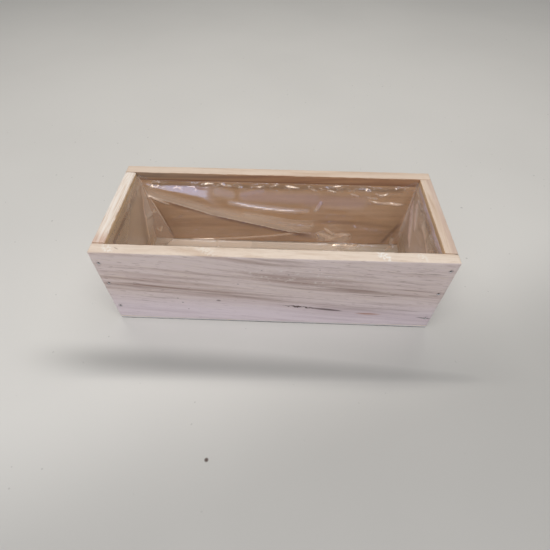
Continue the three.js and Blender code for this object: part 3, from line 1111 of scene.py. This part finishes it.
class LOAF_OT_nails(bpy.types.Operator):
    """Make the brads in the walls and in the bottom panel"""

    bl_idname = "loaf_mould.nails"
    bl_label = "Nails"

    def execute(self, context):
        material = nail_material(context.scene.loaf_colours)
        tree = brad_tree()
        for group in ("wall_nail", "panel_nail"):
            nodes = [name for name in NAIL_NODES if name.startswith(group)]
            radii = nail_radii(nodes[0])
            heads = nail_heads(nodes)
            points = bpy.data.meshes.new(group + "_points")
            points.from_pydata([tuple(head) for head, _, _ in heads], [], [])
            drive = points.attributes.new("drive", "FLOAT_VECTOR", "POINT")
            drive.data.foreach_set("vector", [value for _, inward, _ in heads for value in inward])
            brads = grown(group + "s", tree, {
                "Shank Radius": radii["shank"],
                "Head Radius": radii["head"],
                "Head Height": radii["head_height"],
                "Point Length": 2.0 * MM,
                "Length": heads[0][2],
                "Material": material,
            }, points)
            smooth_shaded(brads)
            hand_over(brads, nodes, "nail_steel")
        return {"FINISHED"}


# ---------------------------------------------------------------- glue


class LOAF_OT_glue(bpy.types.Operator):
    """Make the glue that holds the film's edge"""

    bl_idname = "loaf_mould.glue"
    bl_label = "Glue"

    def execute(self, context):
        ends = []
        for node in GLUE_NODES:
            low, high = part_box(node)
            middle = (low + high) / 2
            size = high - low
            axis = 0 if size.x > size.y else 1
            reach = Vector((0, 0, 0))
            reach[axis] = size[axis] / 2
            ends += [middle - reach, middle + reach]
        lines = bpy.data.meshes.new("glue_lines")
        lines.from_pydata([tuple(end) for end in ends], [(i, i + 1) for i in range(0, len(ends), 2)], [])
        low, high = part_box("glue_bead_front")
        beads = grown("glue_beads", bead_tree(), {
            "Width": high.z - low.z,
            "Depth": high.y - low.y,
            "Wander": 2.0 * MM,
            "Material": glue_material(context.scene.loaf_colours),
        }, lines)
        smooth_shaded(beads, 60)
        hand_over(beads, GLUE_NODES, "glue")
        return {"FINISHED"}


# ---------------------------------------------------------------- film


def steps_between(low, high, spacing):
    return np.linspace(low, high, max(2, round((high - low) / spacing) + 1))


def open_box_grid(xs, ys, zs):
    """Points and four-sided faces of a box without a lid, its corners shared, facing inwards."""
    index, points, faces = {}, [], []

    def point(i, j, k):
        if (i, j, k) not in index:
            index[i, j, k] = len(points)
            points.append((xs[i], ys[j], zs[k]))
        return index[i, j, k]

    last_x, last_y, last_z = len(xs) - 1, len(ys) - 1, len(zs) - 1
    for i in range(last_x):
        for j in range(last_y):
            faces.append((point(i, j, 0), point(i + 1, j, 0), point(i + 1, j + 1, 0), point(i, j + 1, 0)))
    for k in range(last_z):
        for i in range(last_x):
            for j, forward in ((0, True), (last_y, False)):
                corners = [point(i, j, k), point(i, j, k + 1), point(i + 1, j, k + 1), point(i + 1, j, k)]
                faces.append(tuple(corners[::-1] if not forward else corners)[::-1])
        for j in range(last_y):
            for i, forward in ((0, False), (last_x, True)):
                corners = [point(i, j, k), point(i, j, k + 1), point(i, j + 1, k + 1), point(i, j + 1, k)]
                faces.append(tuple(corners[::-1] if not forward else corners)[::-1])
    return np.array(points), faces


def smoothstep(value, low, high):
    share = np.clip((value - low) / (high - low), 0, 1)
    return share * share * (3 - 2 * share)


class FilmShape:
    """The film as points on the box's inside, with the folds that lift them off it."""

    def __init__(self, points, low, high):
        self.low, self.high = np.array(low), np.array(high)
        self.points = points
        self.lift = np.zeros(len(points))
        self.crumple = np.zeros(len(points))
        self.haze_and_painted_light = np.zeros(len(points))
        self.cool = np.zeros(len(points))
        self.round_off()

    def round_off(self):
        """Rounds the film off at the box's edges, further towards the floor, and cuts its corners."""
        z = self.points[:, 2]
        depth = 1 - (z - self.low[2]) / (self.high[2] - self.low[2])
        radius = (2.0 + 1.5 * depth ** 1.6) * MM
        inner_low = self.low + radius[:, None]
        inner_high = self.high - radius[:, None]
        inner_high[:, 2] = self.high[2] + 1
        core = np.clip(self.points, inner_low, inner_high)
        reach = core - self.points
        length = np.linalg.norm(reach, axis=1, keepdims=True)
        self.normals = reach / np.maximum(length, 1e-9)
        self.rest = core - self.normals * radius[:, None]
        for side_x, side_y, along_x, along_y, milky in CORNER_CUTS:
            self.cut_corner(side_x, side_y, along_x * MM * depth ** 0.8, along_y * MM * depth ** 0.8, milky)

    def cut_corner(self, side_x, side_y, along_x, along_y, milky):
        """Draws the film straight across an upright corner, from along_x on one wall to along_y."""
        edge = np.where([side_x > 0, side_y > 0], self.high[:2], self.low[:2])
        inward = np.abs(edge - self.rest[:, :2])
        along_x, along_y = np.maximum(along_x, 1e-6), np.maximum(along_y, 1e-6)
        short = np.clip(1 - inward[:, 0] / along_x - inward[:, 1] / along_y, 0, 1) / 2
        self.rest[:, 0] -= side_x * short * along_x
        self.rest[:, 1] -= side_y * short * along_y
        self.haze_and_painted_light = np.maximum(self.haze_and_painted_light, milky * smoothstep(short, 0, 0.1))

    def wall_point(self, wall, along, up):
        """A place given on a wall, in millimetres along it and above the box's underside."""
        if wall == "back":
            return np.array([along * MM, self.high[1], up * MM]), np.array([0.0, -1, 0])
        if wall == "front":
            return np.array([along * MM, self.low[1], up * MM]), np.array([0.0, 1, 0])
        if wall == "left":
            return np.array([self.low[0], along * MM, up * MM]), np.array([1.0, 0, 0])
        if wall == "right":
            return np.array([self.high[0], along * MM, up * MM]), np.array([-1.0, 0, 0])
        return np.array([along * MM, up * MM, self.low[2]]), np.array([0.0, 0, 1])

    def fold(self, crease):
        """Raises a crest from start to end, which falls off to nothing on both sides."""
        first, normal = self.wall_point(crease.wall, *crease.start)
        last, _ = self.wall_point(crease.wall, *crease.end)
        length = np.linalg.norm(last - first)
        along = (last - first) / length
        across = np.cross(normal, along)
        if across[2] < 0 or (crease.wall == "floor" and across[1] < 0):
            across = -across
        offset = self.rest - first
        share = offset @ along / length
        side = offset @ across - crease.bend * MM * 4 * share * (1 - share)
        # The drawn line is where the fold shines: half-way down the face that looks at the window.
        side += (-crease.below if crease.wall == "floor" else crease.above) * SHINING_FACE * MM
        off_wall = np.abs(offset @ normal)
        ends = smoothstep(share, -0.04, 0.22) * (1 - smoothstep(share, 0.78, 1.04))
        above = np.clip(1 - side / (crease.above * MM), 0, 1)
        below = np.clip(1 + side / (crease.below * MM), 0, 1)
        near = 1 - smoothstep(off_wall, 9 * MM, 16 * MM)
        raised = ends * np.where(side >= 0, above, below) * near
        self.lift += crease.height * MM * raised
        self.crumple = np.maximum(self.crumple, crease.crumple * raised)

    def belly(self, hem, crest_start, crest_end, wedge_start, wedge_end, slope, below):
        """The great fold of the back wall: its crest runs down from one end, and its upper face
        leans out from the hem, steeply over a wedge at that end and gently beyond it.
        """
        place, up = self.rest[:, 0] / MM, self.rest[:, 2] / MM
        share = (place - crest_start[0]) / (crest_end[0] - crest_start[0])
        crest = crest_start[1] + (crest_end[1] - crest_start[1]) * np.clip(share, -0.2, 1.2)
        wedge_share = np.clip((place - wedge_start[0]) / (wedge_end[0] - wedge_start[0]), 0, 1)
        wedge = wedge_start[1] + (wedge_end[1] - wedge_start[1]) * wedge_share
        height = slope * (hem - wedge)
        past = smoothstep(place, wedge_end[0] - 14, wedge_end[0] + 16)
        shoulder = wedge * (1 - past) + crest * past
        facet = np.clip((hem - up) / np.maximum(hem - shoulder, 1), 0, 1)
        returned = np.clip(1 - (crest - up) / below, 0, 1)
        ends = smoothstep(share, -0.1, 0.02) * (1 - smoothstep(share, 0.82, 1.08))
        near = smoothstep(self.rest[:, 1], self.high[1] - 15 * MM, self.high[1] - 8 * MM)
        raised = np.where(up >= crest, facet, returned) * ends * near
        self.lift += height * MM * raised
        # Painted light: the fold's upper face is whitened just above its crest.
        band = smoothstep(up, crest - 1, crest) * (1 - smoothstep(up, crest + 5, crest + 14))
        self.haze_and_painted_light = np.maximum(self.haze_and_painted_light, 0.3 * band * raised)
        # Painted sheen: the steep wedge is whitened and given the painted sky tint, where it faces the
        # window.
        steep = smoothstep(place, wedge_start[0] + 6, wedge_start[0] + 22)
        steep = steep * (1 - smoothstep(place, wedge_end[0] - 20, wedge_end[0] + 9))
        steep = steep * smoothstep(up, shoulder, shoulder + 1.5)
        steep = steep * (1 - smoothstep(up, hem - 0.5, hem + 0.5)) * near
        self.haze_and_painted_light = np.maximum(self.haze_and_painted_light, 0.2 * steep)
        self.cool = np.maximum(self.cool, steep)

    def lay_haze_and_light(self, patch):
        """Makes a soft whitish patch round a line on a wall, with its painted sky tint; such patches are
        partly whitish film and partly painted light and painted sheen.
        """
        first, normal = self.wall_point(patch.wall, *patch.start)
        last, _ = self.wall_point(patch.wall, *patch.end)
        length = np.linalg.norm(last - first)
        along = (last - first) / length
        offset = self.points - first
        run = offset @ along
        side = np.linalg.norm(offset - np.outer(run, along), axis=1)
        beyond = np.maximum(np.abs(run - length / 2) - length / 2, 0)
        on_wall = np.abs(offset @ normal) < 1 * MM
        soft = (1 - smoothstep(np.hypot(side, beyond) / (patch.width / 2 * MM), 0.2, 1)) * on_wall
        self.haze_and_painted_light = np.maximum(self.haze_and_painted_light, patch.milky * soft)
        self.cool = np.maximum(self.cool, patch.cool * soft)

    def raise_edge(self, side_x, height):
        """Lets the film's upper edge stand higher on one end wall."""
        wall = self.high[0] if side_x > 0 else -self.low[0]
        near = smoothstep(self.points[:, 0] * side_x, wall - 14 * MM, wall)
        upper = smoothstep(self.points[:, 2], self.high[2] - 16 * MM, self.high[2])
        self.rest[:, 2] += height * near * upper

    def pucker(self, wall, middle, reach, count, slope, crumple, rng):
        """Crumples a round patch into small cones round random points."""
        centre, normal = self.wall_point(wall, *middle)
        offset = self.rest - centre
        off_wall = offset @ normal
        flat = offset - off_wall[:, None] * normal
        distance = np.linalg.norm(flat, axis=1)
        window = (1 - smoothstep(distance, 0.55 * reach * MM, reach * MM)) * (np.abs(off_wall) < 12 * MM)
        inside = np.flatnonzero(window > 0)
        axes = [axis for axis in range(3) if abs(normal[axis]) < 0.5]
        seeds = np.array([[rng.uniform(-reach, reach) * MM for _ in axes] for _ in range(count)])
        gaps = np.linalg.norm(flat[inside][:, None, axes] - seeds[None], axis=2).min(axis=1)
        self.lift[inside] += slope * gaps * window[inside]
        self.crumple[inside] = np.maximum(self.crumple[inside], crumple * window[inside])

    def place(self, slack):
        """The points of the film, lifted off the wood and never past the middle of the box."""
        limit = 0.4 * min(self.high[0] - self.low[0], self.high[1] - self.low[1])
        return self.rest + self.normals * np.clip(self.lift * slack, 0, limit)[:, None]


# A crease's drawn line is its shining face, which lies this share of the way down from its crest.
SHINING_FACE = 0.45
CREST_WIDTH = 1.25 * MM  # half the width of a crease's milky line

# How far the film is drawn across each upright corner at the floor: the corner's sides, then
# millimetres along the long wall and along the end wall, and how milky it is there.
CORNER_CUTS = ((-1, 1, 18, 24, 0.17), (1, 1, 6, 6, 0.05), (-1, -1, 12, 10, 0.1), (1, -1, 10, 10, 0.1))

Crease = namedtuple("Crease", "wall start end height above below bend milky crumple", defaults=(0.0,) * 3)
HazeLightPatch = namedtuple("HazeLightPatch", "wall start end width milky cool")

# The folds that a hand leaves when it pushes the film into the box. Each has its two ends, in
# millimetres along its wall and above the box's underside (on the floor, along and across it),
# its height, how far it falls off above and below its crest, its bend, how whitish its crest is
# (a painted highlight) and how crumpled it is.
CREASES = (
    Crease("back", (-122, 62.5), (40, 20), 0.6, 2, 3, 0.0, 0.3),
    Crease("back", (-128, 77), (-111, 6), 0.4, 2, 2, 0.0, 0.3),
    Crease("left", (40, 72), (21, 6), 0.4, 2, 2, 0.0, 0.35),
    Crease("back", (-69, 78.3), (-58, 78), 1.4, 1.7, 1.2, 0.0, 0.5),
    Crease("back", (-52, 77), (-42, 76.4), 1.4, 1.7, 1.2, 0.0, 0.6),
    Crease("back", (-25, 76), (-13, 76.6), 1.4, 1.7, 1.2, 0.0, 0.5),
    Crease("back", (-7, 76.4), (1.5, 79.4), 1.4, 1.7, 1.2, 0.0, 0.5),
    Crease("back", (7, 78), (22, 75.4), 1.4, 1.7, 1.2, 0.0, 0.55),
    Crease("back", (31, 75.6), (38, 73), 1.4, 1.7, 1.2, 0.0, 0.6),
    Crease("back", (47, 74.4), (57, 72), 1.4, 1.7, 1.2, 0.0, 0.4),
    Crease("back", (51, 78), (61, 79.4), 1.4, 1.7, 1.2, 0.0, 0.35),
    Crease("back", (69, 70.8), (79, 67.4), 1.6, 1.9, 1.4, 0.0, 0.65),
    Crease("back", (92, 73), (98, 69.6), 1.6, 1.9, 1.4, 0.0, 0.5),
    Crease("back", (96, 69.6), (105, 73), 1.6, 1.9, 1.4, 0.0, 0.55),
    Crease("back", (84, 68.8), (97, 65.6), 1.6, 1.9, 1.4, 0.0, 0.4),
    Crease("back", (-49, 61.4), (30, 51.4), 1.9, 3.3, 2.0, -3.0, 0.2),
    Crease("back", (38, 49.6), (43, 61.6), 2.4, 2.8, 2.0, 0.0, 0.7),
    Crease("back", (87, 63.6), (124, 59.2), 2.8, 3.0, 2.0, 0.0, 1.0),
    Crease("back", (-126, 65), (-104, 53.4), 2.8, 3.0, 2.0, 0.0, 1.0),
    Crease("back", (-133, 47.4), (-122, 43.4), 1.8, 2.0, 1.6, 0.0, 0.8),
    Crease("back", (-131, 42.4), (-123, 47.4), 1.8, 2.0, 1.6, 0.0, 0.8),
    Crease("back", (-135, 34.4), (-124, 20.4), 2.0, 2.2, 1.6, 0.0, 0.9),
    Crease("back", (-125, 21.4), (-121, 26.4), 1.8, 2.0, 1.6, 0.0, 0.8),
    Crease("back", (49, 27), (60, 19), 2.5, 2.7, 2.0, 0.0, 1.0),
    Crease("back", (59, 19.2), (79, 18.6), 2.3, 2.5, 2.0, 0.0, 1.0),
    Crease("back", (41, 20.6), (57, 13.2), 2.3, 2.5, 2.0, 0.0, 0.9),
    Crease("back", (52, 10), (69, 18.6), 2.0, 2.3, 2.0, 0.0, 0.8),
    Crease("back", (70, 40), (122, 30), 2.0, 12, 6),
    Crease("back", (-96, 4.8), (28, 19.6), 1.8, 2.2, 2.0, -2.6, 1.0),
    Crease("back", (-14, 46), (44, 36), 1.2, 5, 4, 0.0, 0.1),
    Crease("floor", (-110, -20), (60, 12), 2.5, 14, 12),
    Crease("floor", (68, 36), (88, 44.6), 2.2, 2.4, 2.6, 0.0, 1.0),
    Crease("floor", (56, 40), (80, 43.6), 1.8, 2.2, 2.4, 0.0, 0.7),
    Crease("floor", (115, 36), (124, 43), 2.0, 2.4, 2.4, 0.0, 0.9),
    Crease("left", (36, 20), (22, 6), 1.2, 2.2, 2.0, 0.0, 0.6),
    Crease("right", (41, 67), (14, 34), 2.4, 4.0, 3.0, 0.0, 0.6),
    Crease("right", (31, 74), (14, 52), 2.0, 3.2, 2.4, 0.0, 0.5),
    Crease("right", (6, 70), (-30, 64), 1.2, 3.4, 3, 0.0, 0.3),
)

# Soft whitish patches, partly whitish film and partly painted light and painted sheen of the sky, each
# round a line: its wall, its two ends, its width in millimetres, how whitish it is and how strong its
# painted sky tint.
HAZE_AND_LIGHT_PATCHES = (
    HazeLightPatch("back", (-57, 70), (-44, 67), 13, 0.24, 0.45),
    HazeLightPatch("back", (-33, 67), (-14, 71), 9, 0.26, 0.7),
    HazeLightPatch("back", (-30, 66), (36, 64), 20, 0.17, 0.7),
    HazeLightPatch("back", (30, 62), (80, 59), 24, 0.1, 0.8),
    HazeLightPatch("back", (39, 50), (43, 59), 6, 0.38, 0.05),
    HazeLightPatch("back", (-45, 59), (30, 50), 7, 0.26, 0.3),
    HazeLightPatch("back", (-30, 45), (34, 31), 14, 0.28, 0.0),
    HazeLightPatch("back", (48, 16), (72, 12), 20, 0.34, 0.0),
    HazeLightPatch("back", (122, 13), (123, 4), 6, 0.45, 0.1),
    HazeLightPatch("floor", (48, 42), (84, 41), 14, 0.32, 0.0),
    HazeLightPatch("floor", (-114, 41), (-30, 41), 20, 0.85, 0.0),
    HazeLightPatch("floor", (-30, 41), (60, 40), 20, 0.6, 0.0),
    HazeLightPatch("left", (30, 56), (-20, 30), 100, 0.38, 0.0),
    HazeLightPatch("left", (42, 60), (26, 41), 5, 0.3, 0.2),
    HazeLightPatch("right", (30, 50), (-30, 40), 100, 0.42, 0.25),
    HazeLightPatch("right", (40, 66), (15, 34), 9, 0.65, 0.4),
    HazeLightPatch("right", (30, 72), (16, 54), 6, 0.55, 0.4),
    HazeLightPatch("right", (36, 79), (-44, 79), 9, 0.6, 0.7),
)


def lay_folds(film, rng):
    """Lays the great fold, the drawn creases and the crumpled patches."""
    film.belly(
        hem=75, crest_start=(-124, 62), crest_end=(40, 20), wedge_start=(-122, 73),
        wedge_end=(-60, 64.3), slope=0.78, below=9,
    )
    for crease in CREASES:
        film.fold(crease)
    for patch in HAZE_AND_LIGHT_PATCHES:
        film.lay_haze_and_light(patch)
    film.raise_edge(1, 5 * MM)
    film.raise_edge(-1, 5 * MM)
    film.pucker("back", (60, 14), 20, 22, 0.3, 0.6, rng)
    film.pucker("right", (8, 74), 14, 24, 0.18, 0.5, rng)
    film.pucker("right", (-24, 74), 14, 22, 0.18, 0.5, rng)
    film.pucker("back", (96, 70), 16, 14, 0.25, 0.2, rng)


def scatter_crinkles(film, rng):
    """Small sharp puckers under the glued edge, and loose creases on every wall and the floor."""
    for wall, reach, count in (("back", 122, 34), ("front", 122, 36), ("left", 40, 2), ("right", 40, 12)):
        for _ in range(count):
            start = (rng.uniform(-reach, reach), rng.uniform(75.5, 79))
            length = rng.uniform(4, 12)
            end = (start[0] + length, start[1] + rng.uniform(-0.2, 0.2) * length)
            above = rng.uniform(1.4, 2.2)
            height = above * rng.uniform(0.3, 0.75)
            film.fold(Crease(wall, start, end, height, above, rng.uniform(1.2, 2.0), crumple=0.3))
    for wall, reach, count in (("right", 40, 3), ("left", 40, 3), ("front", 122, 40), ("back", 122, 14)):
        for _ in range(count):
            start = (rng.uniform(-reach, reach), rng.uniform(14, 66))
            length = rng.uniform(8, 26)
            angle = rng.uniform(-1.4, 1.4)
            end = (start[0] + length * math.cos(angle), start[1] + length * math.sin(angle))
            above = rng.uniform(2, 5)
            height = above * rng.uniform(0.12, 0.35)
            film.fold(Crease(wall, start, end, height, above, rng.uniform(1.6, 3), crumple=0.05))
    for _ in range(30):
        start = (rng.uniform(-118, 90), rng.uniform(-34, 30))
        end = (start[0] + rng.uniform(10, 45), start[1] + rng.uniform(-12, 12))
        film.fold(Crease("floor", start, end, rng.uniform(0.5, 1.6), rng.uniform(2, 5), rng.uniform(2, 4)))


class LOAF_OT_film(bpy.types.Operator):
    """Make the creased film liner"""

    bl_idname = "loaf_mould.film"
    bl_label = "Film liner"

    def execute(self, context):
        sizes, colours = context.scene.loaf_sizes, context.scene.loaf_colours
        low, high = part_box(LINER)
        spacing = sizes.film_mesh
        hem_start = high.z - 10 * MM
        heights = np.concatenate([
            steps_between(low.z, hem_start, spacing)[:-1], steps_between(hem_start, high.z, spacing * 0.5),
        ])
        points, faces = open_box_grid(
            steps_between(low.x, high.x, spacing), steps_between(low.y, high.y, spacing), heights
        )
        film = FilmShape(points, low, high)
        rng = random.Random(7)
        lay_folds(film, rng)
        scatter_crinkles(film, rng)
        mesh = bpy.data.meshes.new("film_sheet")
        mesh.from_pydata(film.place(sizes.film_slack).tolist(), [], faces)
        crumple = mesh.attributes.new("crumple", "FLOAT", "POINT")
        crumple.data.foreach_set("value", film.crumple)
        haze_and_painted_light = mesh.attributes.new("haze_and_painted_light", "FLOAT", "POINT")
        haze_and_painted_light.data.foreach_set("value", film.haze_and_painted_light)
        cool = mesh.attributes.new("cool", "FLOAT", "POINT")
        cool.data.foreach_set("value", film.cool)
        laid = mesh.attributes.new("laid", "FLOAT_VECTOR", "POINT")
        laid.data.foreach_set("vector", points.ravel())
        mesh.materials.append(film_material(colours))
        host = link_object("film_sheet", mesh)
        wall = host.modifiers.new("Gauge", "SOLIDIFY")
        wall.thickness = sizes.film_gauge
        wall.offset = 1.0
        piece = settled("creased_film", host)
        piece.data.shade_smooth()
        hand_over(piece, [LINER], "clear_film")
        return {"FINISHED"}


# ---------------------------------------------------------------- stage


CAMERA_PLACE = (0.0274, -0.8839, 1.0610)  # from the middle of the footprint, in box lengths
CAMERA_DOWN = 50.07  # degrees below level
CAMERA_TURN = 1.72
CAMERA_ROLL = 0.47
CAMERA_LENS = 24.95


def add_camera():
    camera = bpy.data.objects.new("camera", bpy.data.cameras.new("camera"))
    bpy.context.scene.collection.objects.link(camera)
    foot = Vector(((BOX_LOW.x + BOX_HIGH.x) / 2, (BOX_LOW.y + BOX_HIGH.y) / 2, BOX_LOW.z))
    turn = (
        Matrix.Rotation(math.radians(CAMERA_TURN), 4, "Z")
        @ Matrix.Rotation(math.radians(90 - CAMERA_DOWN), 4, "X")
        @ Matrix.Rotation(math.radians(CAMERA_ROLL), 4, "Z")
    )
    camera.matrix_world = Matrix.Translation(foot + BOX_SIZE.x * Vector(CAMERA_PLACE)) @ turn
    camera.data.lens = CAMERA_LENS
    camera.data.clip_start = 0.01
    bpy.context.scene.camera = camera


def add_lamp(name, place, size, power, colour):
    """A rectangular lamp that faces the middle of the box."""
    data = bpy.data.lights.new(name, "AREA")
    data.shape = "RECTANGLE"
    data.size, data.size_y = size
    data.energy = power
    data.color = colour
    lamp = bpy.data.objects.new(name, data)
    bpy.context.scene.collection.objects.link(lamp)
    aim = (BOX_LOW + BOX_HIGH) / 2 - Vector(place)
    lamp.matrix_world = Matrix.Translation(place) @ aim.to_track_quat("-Z", "Y").to_matrix().to_4x4()


class LOAF_OT_stage(bpy.types.Operator):
    """Set the tabletop, lamps, world and camera"""

    bl_idname = "loaf_mould.stage"
    bl_label = "Stage"

    def execute(self, context):
        scene = context.scene
        reach = 3.0
        mesh = bpy.data.meshes.new("tabletop")
        ground = BOX_LOW.z - 0.02 * MM
        turns = ((-1, -1), (1, -1), (1, 1), (-1, 1))
        corners = [(across * reach, along * reach, ground) for across, along in turns]
        mesh.from_pydata(corners, [], [(0, 1, 2, 3)])
        mesh.materials.append(floor_material(scene.loaf_colours))
        link_object("tabletop", mesh)

        add_lamp("back_tube", (-0.08, 0.66, 1.18), (1.6, 0.06), 7.2, (1.0, 0.96, 0.9))
        add_lamp("front_window", (-0.08, -0.95, 0.80), (1.3, 0.55), 5.4, (0.9, 0.93, 1.0))
        add_lamp("ceiling", (0.0, -0.4, 1.6), (1.5, 0.4), 11.0, (1.0, 0.97, 0.93))
        world = bpy.data.worlds.new("soft_room")
        world.use_nodes = True
        world.node_tree.nodes["Background"].inputs["Color"].default_value = (0.9, 0.95, 1.0, 1.0)
        world.node_tree.nodes["Background"].inputs["Strength"].default_value = 0.16
        scene.world = world
        scene.view_settings.view_transform = "Standard"
        add_camera()
        return {"FINISHED"}


class LOAF_PT_panel(bpy.types.Panel):
    """Buttons for each part of the mould"""

    bl_label = "Loaf Mould"
    bl_idname = "LOAF_PT_panel"
    bl_space_type = "VIEW_3D"
    bl_region_type = "UI"
    bl_category = "Loaf Mould"

    def draw(self, context):
        for operator in OPERATORS:
            self.layout.operator(operator.bl_idname)
        for group in (context.scene.loaf_sizes, context.scene.loaf_colours):
            for key in group.__annotations__:
                self.layout.prop(group, key)


OPERATORS = (LOAF_OT_stage, LOAF_OT_boards, LOAF_OT_nails, LOAF_OT_glue, LOAF_OT_film)
CLASSES = (LoafMouldSizes, LoafMouldColours, *OPERATORS, LOAF_PT_panel)


def register():
    for item in CLASSES:
        bpy.utils.register_class(item)
    bpy.types.Scene.loaf_sizes = bpy.props.PointerProperty(type=LoafMouldSizes)
    bpy.types.Scene.loaf_colours = bpy.props.PointerProperty(type=LoafMouldColours)


def unregister():
    del bpy.types.Scene.loaf_colours
    del bpy.types.Scene.loaf_sizes
    for item in reversed(CLASSES):
        bpy.utils.unregister_class(item)


def main():
    register()
    bpy.ops.loaf_mould.stage()
    bpy.ops.loaf_mould.boards()
    bpy.ops.loaf_mould.nails()
    bpy.ops.loaf_mould.glue()
    bpy.ops.loaf_mould.film()


if __name__ == "__main__":
    main()
